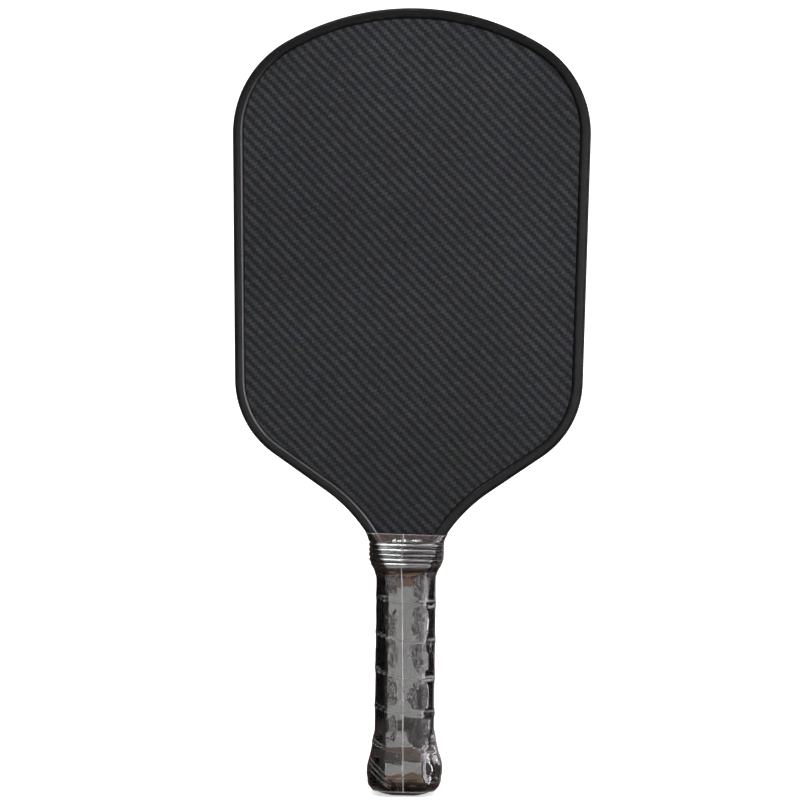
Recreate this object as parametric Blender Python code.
"""Pickleball paddle: a bonded honeycomb blade with an edge guard, and a taped octagonal handle in a clear film.

The paddle stands on its butt: the origin is the middle of the butt cap's flat end, +Z runs up the handle
to the tip of the head, +X runs across the face, and the two faces look along -Y (front) and +Y (rear).
Sizes are in mm and degrees and become metres as the meshes are made.
"""

import math

import bmesh
import bpy

MM = 0.001
SIDES = ((-1, "front"), (1, "rear"))  # sign of Y, name

# ---- outer edge of the guard: a chain of tangent arcs and straight runs ----
LENGTH = 419.1
CROWN_R, CROWN_TURN = 133.8, 30.54  # top of the head
SHOULDER_R = 56.0
SIDE_TAPER = 1.19  # each side leans in by this much towards the throat
SIDE_RUN = 131.1
HIP_R, FLANK_ANGLE = 48.95, 55.35  # the flanks lean this far from the paddle's axis
FLANK_RUN = 34.2
THROAT_R, THROAT_END = 83.1, 31.0  # concave sweep into the neck, and the lean it ends at
NECK_R = 20.6  # blend into the parallel neck
ARC_STEPS = {"crown": 6, "shoulder": 10, "hip": 8, "throat": 5, "neck": 3}

# ---- bare handle octagon ----
HANDLE_HALF_W, HANDLE_HALF_T, HANDLE_CHAMFER, HANDLE_CORNER_R = 13.6, 12.9, 4.9, 1.2
HANDLE = (HANDLE_HALF_W, HANDLE_HALF_T, HANDLE_CHAMFER, HANDLE_CORNER_R)
CORNER_STEPS = 2
BLOCK_TOP_Z = 124.4
BLOCK_BARE_EDGE = 1.5  # block corners less than this far off the blade are left out

# ---- blade stack ----
BLADE_HALF_T = 8.0
SHEET_T = 0.5
VEIL_T, VEIL_INSET = 0.15, 0.3
BOND_GAP = 0.1
SHEET_LOW = BLADE_HALF_T - SHEET_T
VEIL_HIGH = SHEET_LOW - BOND_GAP
VEIL_LOW = VEIL_HIGH - VEIL_T
CORE_HALF_T = VEIL_LOW - BOND_GAP
EDGE_TO_BLADE = 2.1  # from the guard's outer edge to the blade's cut edge
FOAM_W, FOAM_END_Z, FOAM_GAP = 7.0, 150.0, 0.3
TANG_HALF_W, TANG_SHOULDER_Z, TANG_END_Z = HANDLE_HALF_W, 124.2, 8.0

# ---- honeycomb: each modelled cell stands for a group of 8 mm cells ----
CELL_PITCH, CELL_WALL = 20.0, 1.2
CELL_ROWS, CELL_COLUMNS_EACH_SIDE = 32, 8
CELL_FIRST_Z = 21.0
CELL_EDGE_GAP = 0.7 * CELL_WALL  # least wall between a cell and the core's outline

# ---- edge guard ----
# Distance in from the outer edge, half thickness: over the outside, then back along the inside.
GUARD_PROFILE = (
    (0.0, 6.2), (0.4, 7.9), (1.2, 8.9), (2.4, 9.3), (4.35, 9.3), (5.45, 8.3), (5.6, 8.1), (1.5, 8.1),
)
GUARD_TAPE_NEAR, GUARD_TAPE_FAR, GUARD_TAPE_HALF_W = 1.65, 1.95, 6.5  # distances in, half width

# ---- windings on the handle ----
STRIP_LIFT, STRIP_T, STRIP_HALF_W = 0.1, 0.13, 4.0
STRIP_Z = (32.5, 117.5)
STRIP_BENDS = 1
GRIP_LIFT, GRIP_T = 0.35, 1.65
GRIP_OUTER = GRIP_LIFT + GRIP_T
GRIP_Z = (10.65, BLOCK_TOP_Z)
GRIP_PITCH, GRIP_PHASE_Z = 19.4, 43.6  # the phase is the height of a seam at the middle of the front
GRIP_SWAY = 1.0  # makes the turns run flatter across the front
GRIP_TILT = 2.4  # makes the turns sit higher at the rear
GRIP_SEAM = 0.35
GRIP_BENDS = 7
GRIP_RUNOUT = 2.0  # height over which the grip comes off the cap skirt onto the handle
WINDING_TURNS = range(-3, 7)  # enough to cover the handle; the rest is trimmed away
WINDING_LEAST_W = 0.6  # a narrower sliver is left out
FINISH_Z = (118.9, TANG_SHOULDER_Z)
FINISH_LIFT, FINISH_T = GRIP_OUTER + 0.12, 0.2

# ---- butt cap ----
# Exposed end: z, half width, half thickness, chamfer, corner radius.
CAP_END = (
    (0.0, 9.2, 8.5, 3.3, 3.0),
    (0.9, 11.9, 11.2, 4.3, 4.0),
    (2.3, 14.8, 14.1, 5.5, 5.0),
    (4.3, 17.5, 16.8, 6.5, 6.0),
    (6.3, 18.9, 18.2, 7.0, 6.5),
    (7.6, 19.05, 18.35, 7.1, 6.6),
    (10.2, 19.05, 18.35, 7.1, 6.6),
)
# Skirt: z, stand-off from the bare handle.
SKIRT = (
    (10.2, 3.85), (13.0, 3.88), (15.0, 3.8), (17.0, 3.5), (19.0, 3.0),
    (21.5, 2.3), (25.0, 1.55), (28.0, 1.1), (30.0, 0.85),
)
SKIRT_TOP_Z, SKIRT_TOP_OFF = SKIRT[-1]
SKIRT_CLEAR = 0.15
CAP_FLOOR_Z = 7.6
BADGE_R, BADGE_T = 6.9, 0.7
RECESS_R, RECESS_DEPTH = BADGE_R + 0.3, BADGE_T + 0.2
RECESS_CUT_START_Z = -1.0
DISC_STEPS = 32
STAPLE_Z, STAPLE_HALF_W, STAPLE_WIRE = 15.0, 4.5, 0.7
STAPLE_CROWN_Y, STAPLE_TIP_Y, STAPLE_CLEAR = 16.2, 9.6, 0.15
SLOT_CROWN_Y = STAPLE_CROWN_Y + 2.0  # the slot breaks out through the skirt

# ---- rubber collar: z, half width, half thickness, chamfer, corner radius ----
COLLAR_CREST = (
    (117.6, 16.3, 15.6, 6.2, 3.6),
    (119.6, 16.7, 16.0, 6.3, 3.8),
    (121.6, 18.1, 16.9, 6.6, 4.0),
    (124.2, 19.6, 16.9, 6.9, 4.2),
    (128.0, 20.0, 15.3, 6.0, 4.2),
    (134.4, 20.0, 11.6, 4.0, 3.2),
)
COLLAR_BORE = (
    (117.6, 15.85, 15.15, 6.0, 3.3),
    (118.5, 16.25, 15.55, 6.1, 3.4),
    (125.6, 17.1, 15.55, 5.6, 3.0),
    (129.2, 17.5, 13.1, 4.0, 2.2),
    (132.0, 18.1, 11.3, 2.6, 1.8),
    (134.4, 19.05, 9.8, 1.6, 1.4),
)
COLLAR_TOP_Z = COLLAR_CREST[-1][0]
COLLAR_RIM_DEPTH = 0.1
RIBS, RIB_PITCH, RIB_DEPTH = 5, 2.6, 0.55
# One rib: height above its foot, depth below the crest.
RIB_PROFILE = ((0.35, RIB_DEPTH), (0.95, 0.0), (1.95, 0.0), (2.5, RIB_DEPTH))

# ---- clear film over the whole handle ----
FILM_LIFT, FILM_T = 0.25, 0.2
FILM_FOOT_Z, FILM_FOOT_EXTRA = 3.3, 0.1
FILM_SKIRT_EXTRA = 0.08  # extra lift over the skirt
FILM_CAP_STEP = 0.4  # the film steps in this far above the exposed end of the cap
FILM_RIM_STEP = 0.05  # and turns this far above the collar's rim
FILM_GRIP_Z = (36.0, 116.6)  # straight run over the grip
# Above the collar: z, half width, half thickness, chamfer, corner radius.
FILM_TOP = ((136.6, 20.5, 10.9, 3.0, 2.4), (138.9, 22.0, 10.3, 2.2, 1.8))

# ---- surface finishes ----
HONEYCOMB = dict(colour=(0.80, 0.81, 0.78), roughness=0.45)
EDGE_FOAM = dict(colour=(0.72, 0.66, 0.52), roughness=0.85)
VEIL = dict(colour=(0.62, 0.62, 0.60), roughness=0.9)
CARBON = dict(colour=(0.030, 0.032, 0.035), roughness=0.38)
GUARD_BLACK = dict(colour=(0.018, 0.018, 0.019), roughness=0.42)
GUARD_ADHESIVE = dict(colour=(0.75, 0.73, 0.66), roughness=0.6)
CAP_BLACK = dict(colour=(0.018, 0.018, 0.019), roughness=0.25)
BADGE = dict(colour=(0.05, 0.05, 0.055), roughness=0.3)
BLOCK_FOAM = dict(colour=(0.70, 0.60, 0.42), roughness=0.8)
STEEL = dict(colour=(0.70, 0.70, 0.72), roughness=0.3, metallic=1.0)
STRIP_ADHESIVE = dict(colour=(0.78, 0.74, 0.60), roughness=0.5)
GRIP_BLACK = dict(colour=(0.022, 0.022, 0.023), roughness=0.6)
FINISH_BLACK = dict(colour=(0.02, 0.02, 0.02), roughness=0.3)
COLLAR_RUBBER = dict(colour=(0.016, 0.016, 0.017), roughness=0.35)
CLEAR_FILM = dict(colour=(0.85, 0.86, 0.86), roughness=0.08, alpha=0.25)


# ================= scene, materials, cuts =================
def clear_scene():
    for obj in list(bpy.data.objects):
        bpy.data.objects.remove(obj)


def new_collection(name):
    collection = bpy.data.collections.new(name)
    bpy.context.scene.collection.children.link(collection)
    return collection


clear_scene()
paddle = new_collection("pickleball_paddle")
cutters = new_collection("cutters")


def make_material(name, colour, roughness, metallic=0.0, alpha=1.0):
    material = bpy.data.materials.new(name)
    material.use_nodes = True
    inputs = material.node_tree.nodes["Principled BSDF"].inputs
    inputs["Base Color"].default_value = (*colour, 1.0)
    inputs["Roughness"].default_value = roughness
    inputs["Metallic"].default_value = metallic
    inputs["Alpha"].default_value = alpha
    return material


def add_piece(obj, finish):
    obj.data.materials.append(make_material(obj.name + "_material", **finish))
    paddle.objects.link(obj)
    return obj


def add_cutter(obj):
    obj.hide_render = True
    obj.display_type = "WIRE"
    cutters.objects.link(obj)
    return obj


def cut(obj, cutter):
    modifier = obj.modifiers.new("cut_" + cutter.name, "BOOLEAN")
    modifier.operation = "DIFFERENCE"
    modifier.solver = "EXACT"
    modifier.object = cutter


# ================= outlines of the blade, as (x, z) points =================
def right_side(inset):
    """The right-hand edge from the tip down to the neck, moved in by inset.

    Moving the edge in shortens each convex radius and lengthens each concave one, so the edge at
    every inset has the same number of points, each straight in from its neighbour.
    """
    x, z, heading = 0.0, LENGTH - inset, 0.0
    points = [(x, z)]

    def arc(radius, turn, steps):
        nonlocal x, z, heading
        reach = math.copysign(radius, turn)
        start = heading
        centre_x, centre_z = x - reach * math.sin(start), z - reach * math.cos(start)
        for k in range(1, steps + 1):
            heading = start + turn * k / steps
            points.append((centre_x + reach * math.sin(heading), centre_z + reach * math.cos(heading)))
        x, z = points[-1]

    def run(length):
        nonlocal x, z
        x, z = x + length * math.cos(heading), z - length * math.sin(heading)
        points.append((x, z))

    arc(CROWN_R - inset, math.radians(CROWN_TURN), ARC_STEPS["crown"])
    arc(SHOULDER_R - inset, math.radians(90 + SIDE_TAPER - CROWN_TURN), ARC_STEPS["shoulder"])
    run(SIDE_RUN)
    arc(HIP_R - inset, math.radians(FLANK_ANGLE - SIDE_TAPER), ARC_STEPS["hip"])
    run(FLANK_RUN)
    arc(THROAT_R + inset, math.radians(THROAT_END - FLANK_ANGLE), ARC_STEPS["throat"])
    arc(NECK_R + inset, math.radians(-THROAT_END), ARC_STEPS["neck"])
    return points


def cut_at(points, end_z):
    """The edge down to the height end_z."""
    kept = [point for point in points if point[1] > end_z + 0.01]
    (x0, z0), (x1, z1) = points[len(kept) - 1], points[len(kept)]
    share = (z0 - end_z) / (z0 - z1)
    return [*kept, (x0 + share * (x1 - x0), end_z)]


def both_sides(right):
    """From the left foot up over the tip and down to the right foot."""
    return [(-x, z) for x, z in reversed(right[1:])] + right


def tang(inset):
    """The two right-hand corners of the tang below the neck."""
    half_width = TANG_HALF_W - inset
    return [(half_width, TANG_SHOULDER_Z), (half_width, TANG_END_Z + inset)]


def sheet_outline(inset):
    return both_sides(right_side(EDGE_TO_BLADE + inset) + tang(inset))


def foam_outline():
    outer = both_sides(cut_at(right_side(EDGE_TO_BLADE), FOAM_END_Z))
    inner = both_sides(cut_at(right_side(EDGE_TO_BLADE + FOAM_W), FOAM_END_Z))
    return outer + inner[::-1]


def core_outline():
    """Inside the foam down to where the foam ends, then out to the blade's edge and down the tang."""
    shelf_z = FOAM_END_Z - FOAM_GAP
    above = cut_at(right_side(EDGE_TO_BLADE + FOAM_W + FOAM_GAP), shelf_z)
    blade_edge = right_side(EDGE_TO_BLADE)
    shelf = cut_at(blade_edge, shelf_z)[-1]
    below = [point for point in blade_edge if point[1] < shelf_z - 0.01]
    return both_sides([*above, shelf, *below, *tang(0.0)])


def loop_edges(loop):
    return zip(loop, loop[1:] + loop[:1])


def inside(point, loop):
    x, z = point
    hit = False
    for (x0, z0), (x1, z1) in loop_edges(loop):
        if (z0 > z) != (z1 > z) and x < x0 + (z - z0) / (z1 - z0) * (x1 - x0):
            hit = not hit
    return hit


def gap_to(point, loop):
    """The distance from a point to the nearest edge of a loop."""
    x, z = point
    nearest = math.inf
    for (x0, z0), (x1, z1) in loop_edges(loop):
        run_x, run_z = x1 - x0, z1 - z0
        share = ((x - x0) * run_x + (z - z0) * run_z) / (run_x * run_x + run_z * run_z)
        share = max(0.0, min(1.0, share))
        nearest = min(nearest, math.hypot(x - x0 - share * run_x, z - z0 - share * run_z))
    return nearest


def cell_outlines(around):
    """Every whole hexagonal cell that fits inside the core."""
    radius = (CELL_PITCH - CELL_WALL) / math.sqrt(3)
    angles = [math.radians(60 * k + 30) for k in range(6)]
    found = []
    for row in range(CELL_ROWS):
        centre_z = CELL_FIRST_Z + row * CELL_PITCH * math.sqrt(3) / 2
        stagger = 0.5 if row % 2 else 0.0
        for column in range(-CELL_COLUMNS_EACH_SIDE, CELL_COLUMNS_EACH_SIDE + 1):
            centre_x = (column + stagger) * CELL_PITCH
            cell = [(centre_x + radius * math.cos(angle), centre_z + radius * math.sin(angle))
                    for angle in angles]
            if all(inside(point, around) and gap_to(point, around) > CELL_EDGE_GAP for point in cell):
                found.append(cell)
    return found


# ================= solids =================
def flat_solid(name, loops, low, high, upright=True):
    """Filled 2D splines extruded between two depths. Loops inside the first are holes.

    Upright, the splines lie in XZ and the depths run along Y. Otherwise they lie in XY and run along Z.
    """
    curve = bpy.data.curves.new(name + "_outline", "CURVE")
    curve.dimensions = "2D"
    curve.fill_mode = "BOTH"
    curve.extrude = (high - low) / 2 * MM
    for loop in loops:
        spline = curve.splines.new("POLY")
        spline.points.add(len(loop) - 1)
        for point, (across, along) in zip(spline.points, loop):
            point.co = (across * MM, along * MM, 0.0, 1.0)
        spline.use_cyclic_u = True
    shape = bpy.data.objects.new(name + "_outline", curve)
    data = bpy.data.meshes.new_from_object(shape)
    bpy.data.objects.remove(shape)
    middle = (low + high) / 2 * MM
    for vertex in data.vertices:
        across, along, depth = vertex.co
        if upright:
            vertex.co = (across, middle - depth, along)
        else:
            vertex.co = (across, along, middle + depth)
    mesh = bmesh.new()
    mesh.from_mesh(data)
    # The fill and the sides come unjoined, so weld them.
    bmesh.ops.remove_doubles(mesh, verts=mesh.verts, dist=0.00001)
    bmesh.ops.recalc_face_normals(mesh, faces=mesh.faces)
    mesh.to_mesh(data)
    mesh.free()
    return bpy.data.objects.new(name, data)


def disc(name, radius, low, high):
    angles = [math.tau * k / DISC_STEPS for k in range(DISC_STEPS)]
    loop = [(radius * math.cos(angle), radius * math.sin(angle)) for angle in angles]
    return flat_solid(name, [loop], low, high, upright=False)


def loft(name, loops, joined=False):
    """A closed solid through loops of points. joined closes the last loop onto the first."""
    mesh = bmesh.new()
    rings = [[mesh.verts.new((x * MM, y * MM, z * MM)) for x, y, z in loop] for loop in loops]
    pairs = list(zip(rings, rings[1:]))
    if joined:
        pairs.append((rings[-1], rings[0]))
    for first, second in pairs:
        for k in range(len(first)):
            after = (k + 1) % len(first)
            mesh.faces.new((first[k], first[after], second[after], second[k]))
    if not joined:
        mesh.faces.new(rings[0][::-1])
        mesh.faces.new(rings[-1])
    bmesh.ops.recalc_face_normals(mesh, faces=mesh.faces)
    if mesh.calc_volume(signed=True) < 0:
        bmesh.ops.reverse_faces(mesh, faces=mesh.faces)
    data = bpy.data.meshes.new(name)
    mesh.to_mesh(data)
    mesh.free()
    data.shade_smooth()
    data.set_sharp_from_angle(angle=math.radians(30))
    return bpy.data.objects.new(name, data)


def swept_edge(name, profile):
    """A closed profile of (distance in from the outer edge, y) swept round the head."""
    paths = [both_sides(right_side(inset)) for inset, _ in profile]
    loops = [[(x, y, z) for (x, z), (_, y) in zip(station, profile)] for station in zip(*paths)]
    return loft(name, loops)


# ================= octagonal sections =================
def octagon(half_width, half_thickness, chamfer, radius):
    """An octagon with rounded corners, as (x, y) points anticlockwise seen from above."""
    flat_x, flat_y = half_width - chamfer, half_thickness - chamfer
    corners = [
        (half_width, -flat_y), (half_width, flat_y), (flat_x, half_thickness), (-flat_x, half_thickness),
        (-half_width, flat_y), (-half_width, -flat_y), (-flat_x, -half_thickness), (flat_x, -half_thickness),
    ]
    reach = radius * math.tan(math.radians(22.5))
    points = []
    for k, (x, y) in enumerate(corners):
        start = math.radians(45 * (k - 1))
        centre_x = x + reach * math.sin(start) - radius * math.cos(start)
        centre_y = y - reach * math.cos(start) - radius * math.sin(start)
        for step in range(CORNER_STEPS + 1):
            angle = start + math.radians(45) * step / CORNER_STEPS
            points.append((centre_x + radius * math.cos(angle), centre_y + radius * math.sin(angle)))
    return points


def grown(section, by):
    """The same octagon moved outwards, staying parallel."""
    half_width, half_thickness, chamfer, radius = section
    return (half_width + by, half_thickness + by, chamfer + by * (2 - math.sqrt(2)), radius + by)


def at_height(table, z):
    """The rest of the row at height z of a table that runs upwards."""
    if z <= table[0][0]:
        return table[0][1:]
    for low, high in zip(table, table[1:]):
        if z <= high[0]:
            share = (z - low[0]) / (high[0] - low[0])
            return tuple(start + share * (end - start) for start, end in zip(low[1:], high[1:]))
    return table[-1][1:]


def ring(section, z):
    return [(x, y, z) for x, y in octagon(*section)]


def rings_of(rows):
    return [ring(section, z) for z, *section in rows]


# ================= windings =================
HANDLE_RING = octagon(*HANDLE)


def under_grip(z):
    """How far off the bare handle the surface lies that the grip is wound on."""
    if z > SKIRT_TOP_Z:
        return max(0.0, SKIRT_TOP_OFF * (1 - (z - SKIRT_TOP_Z) / GRIP_RUNOUT))
    return at_height(SKIRT, z)[0]


def share_round(index):
    """How far round from the middle of the front a ring point lies, turning towards +X."""
    x, y = HANDLE_RING[index]
    return ((math.atan2(y, x) - math.radians(270)) / math.tau) % 1.0


def seam_height(index, turn):
    x, y = HANDLE_RING[index]
    radius = math.hypot(x, y)
    level = GRIP_SWAY * x / radius + GRIP_TILT * (1 + y / radius)
    return GRIP_PHASE_Z + GRIP_PITCH * (turn - share_round(index)) + level


def winding(name, trim, z_range, lift, thickness, bends):
    """A strip wound up the handle, trimmed back from the seam on each edge and square at z_range."""

    def surface_points(index, heights, off):
        return [(*octagon(*grown(HANDLE, under_grip(z) + off))[index], z) for z in heights]

    order = sorted(range(len(HANDLE_RING)), key=share_round, reverse=True)
    loops = []
    for turn in WINDING_TURNS:
        for index in order:
            low = max(seam_height(index, turn) + trim, z_range[0])
            high = min(seam_height(index, turn + 1) - trim, z_range[1])
            if high - low < WINDING_LEAST_W:
                continue
            heights = [low + (high - low) * k / bends for k in range(bends + 1)]
            under = surface_points(index, heights, lift)
            over = surface_points(index, heights[::-1], lift + thickness)
            loops.append(under + over)
    return loft(name, loops)


# ================= blade =================
def build_core():
    outline = core_outline()
    loops = [outline, *cell_outlines(outline)]
    add_piece(flat_solid("honeycomb_core", loops, -CORE_HALF_T, CORE_HALF_T), HONEYCOMB)


def build_edge_foam():
    add_piece(flat_solid("core_edge_foam", [foam_outline()], -CORE_HALF_T, CORE_HALF_T), EDGE_FOAM)


def build_skin(name, side, near, far, inset, finish):
    """A full-face layer between two distances from the blade's middle plane."""
    low, high = sorted((side * near, side * far))
    add_piece(flat_solid(name, [sheet_outline(inset)], low, high), finish)


def build_edge_guard():
    profile = list(GUARD_PROFILE) + [(inset, -y) for inset, y in reversed(GUARD_PROFILE)]
    add_piece(swept_edge("edge_guard", profile), GUARD_BLACK)


def build_guard_tape():
    near, far, half_width = GUARD_TAPE_NEAR, GUARD_TAPE_FAR, GUARD_TAPE_HALF_W
    profile = [(near, half_width), (far, half_width), (far, -half_width), (near, -half_width)]
    add_piece(swept_edge("edge_guard_tape", profile), GUARD_ADHESIVE)


# ================= butt and handle =================
def build_butt_cap():
    outer = rings_of(CAP_END) + [ring(grown(HANDLE, off), z) for z, off in SKIRT]
    bore = grown(HANDLE, SKIRT_CLEAR)
    cap = loft("butt_cap", [*outer, ring(bore, SKIRT_TOP_Z), ring(bore, CAP_FLOOR_Z)])
    add_piece(cap, CAP_BLACK)
    cut(cap, add_cutter(disc("badge_recess", RECESS_R, RECESS_CUT_START_Z, RECESS_DEPTH)))
    return cap


def build_badge():
    add_piece(disc("butt_badge", BADGE_R, 0.0, BADGE_T), BADGE)


def build_handle_block(side, where):
    """The part of the handle octagon that stands proud of one face of the blade."""
    top = [(x, y) for x, y in HANDLE_RING if y > BLADE_HALF_T + BLOCK_BARE_EDGE]
    base_y = BLADE_HALF_T + BOND_GAP
    base_x = HANDLE_HALF_W - (base_y - (HANDLE_HALF_T - HANDLE_CHAMFER))
    section = [(x, side * y) for x, y in [(-base_x, base_y), (base_x, base_y), *top]]
    block = flat_solid(where + "_handle_block", [section], TANG_END_Z, BLOCK_TOP_Z, upright=False)
    return add_piece(block, BLOCK_FOAM)


def staple(name, clear, crown_y, side):
    """A U of square wire, its crown at crown_y and its legs pointing at the blade."""
    outer_x, wire = STAPLE_HALF_W + clear, STAPLE_WIRE + 2 * clear
    inner_x = outer_x - wire
    tip = STAPLE_TIP_Y - clear
    under = STAPLE_CROWN_Y - STAPLE_WIRE - clear
    loop = [
        (-outer_x, tip), (-outer_x, crown_y), (outer_x, crown_y), (outer_x, tip),
        (inner_x, tip), (inner_x, under), (-inner_x, under), (-inner_x, tip),
    ]
    loop = [(x, side * y) for x, y in loop]
    return flat_solid(name, [loop], STAPLE_Z - wire / 2, STAPLE_Z + wire / 2, upright=False)


def build_staple(side, where, cap, block):
    """A staple through the skirt into the block, and the slot it sits in."""
    add_piece(staple(where + "_cap_staple", 0.0, STAPLE_CROWN_Y, side), STEEL)
    slot = add_cutter(staple(where + "_staple_slot", STAPLE_CLEAR, SLOT_CROWN_Y, side))
    cut(cap, slot)
    cut(block, slot)


def build_adhesive_strip():
    trim = GRIP_PITCH / 2 - STRIP_HALF_W
    strip = winding("grip_adhesive_strip", trim, STRIP_Z, STRIP_LIFT, STRIP_T, STRIP_BENDS)
    add_piece(strip, STRIP_ADHESIVE)


def build_grip_tape():
    grip = winding("grip_tape", GRIP_SEAM / 2, GRIP_Z, GRIP_LIFT, GRIP_T, GRIP_BENDS)
    add_piece(grip, GRIP_BLACK)


def build_finishing_tape():
    inner = [ring(grown(HANDLE, FINISH_LIFT), z) for z in FINISH_Z]
    outer = [ring(grown(HANDLE, FINISH_LIFT + FINISH_T), z) for z in reversed(FINISH_Z)]
    add_piece(loft("grip_finishing_tape", inner + outer, joined=True), FINISH_BLACK)


def build_collar():
    stations = [(z, 0.0) for z, *_ in COLLAR_CREST[:2]]  # plain lip below the ribs
    for k in range(RIBS):
        foot = COLLAR_TOP_Z - RIB_PITCH * (RIBS - k)
        stations += [(foot + rise, depth) for rise, depth in RIB_PROFILE]
    # The top rib ends at the rim in place of its upper groove.
    stations = stations[:-1] + [(COLLAR_TOP_Z, COLLAR_RIM_DEPTH)]
    outer = [ring(grown(at_height(COLLAR_CREST, z), -depth), z) for z, depth in stations]
    bore = rings_of(reversed(COLLAR_BORE))
    add_piece(loft("grip_collar", outer + bore, joined=True), COLLAR_RUBBER)


def film_sections():
    """Inner surface of the film, by height: just clear of whatever it is drawn over."""
    over_grip = GRIP_OUTER + FILM_LIFT
    foot = grown(at_height(CAP_END, FILM_FOOT_Z), FILM_LIFT + FILM_FOOT_EXTRA)
    rows = [(FILM_FOOT_Z, *foot)]
    rows += [(z, *grown(section, FILM_LIFT)) for z, *section in CAP_END if z > FILM_FOOT_Z]
    skirt_heights = [SKIRT[0][0] + FILM_CAP_STEP] + [z for z, _ in SKIRT[1:]]
    for z, (_, off) in zip(skirt_heights, SKIRT):
        rows.append((z, *grown(HANDLE, off + over_grip + FILM_SKIRT_EXTRA)))
    rows += [(z, *grown(HANDLE, over_grip)) for z in FILM_GRIP_Z]
    crest_heights = [z for z, *_ in COLLAR_CREST[:-1]] + [COLLAR_TOP_Z + FILM_RIM_STEP]
    for z, (_, *section) in zip(crest_heights, COLLAR_CREST):
        rows.append((z, *grown(section, FILM_LIFT)))
    return rows + list(FILM_TOP)


def build_film():
    rows = film_sections()
    outer = [ring(grown(section, FILM_T), z) for z, *section in reversed(rows)]
    add_piece(loft("handle_film", rings_of(rows) + outer, joined=True), CLEAR_FILM)


build_core()
build_edge_foam()
for side, where in SIDES:
    build_skin(where + "_core_veil", side, VEIL_LOW, VEIL_HIGH, VEIL_INSET, VEIL)
    build_skin(where + "_face_sheet", side, SHEET_LOW, BLADE_HALF_T, 0.0, CARBON)
build_edge_guard()
build_guard_tape()

butt_cap = build_butt_cap()
build_badge()
for side, where in SIDES:
    handle_block = build_handle_block(side, where)
    build_staple(side, where, butt_cap, handle_block)

build_adhesive_strip()
build_grip_tape()
build_finishing_tape()
build_collar()
build_film()
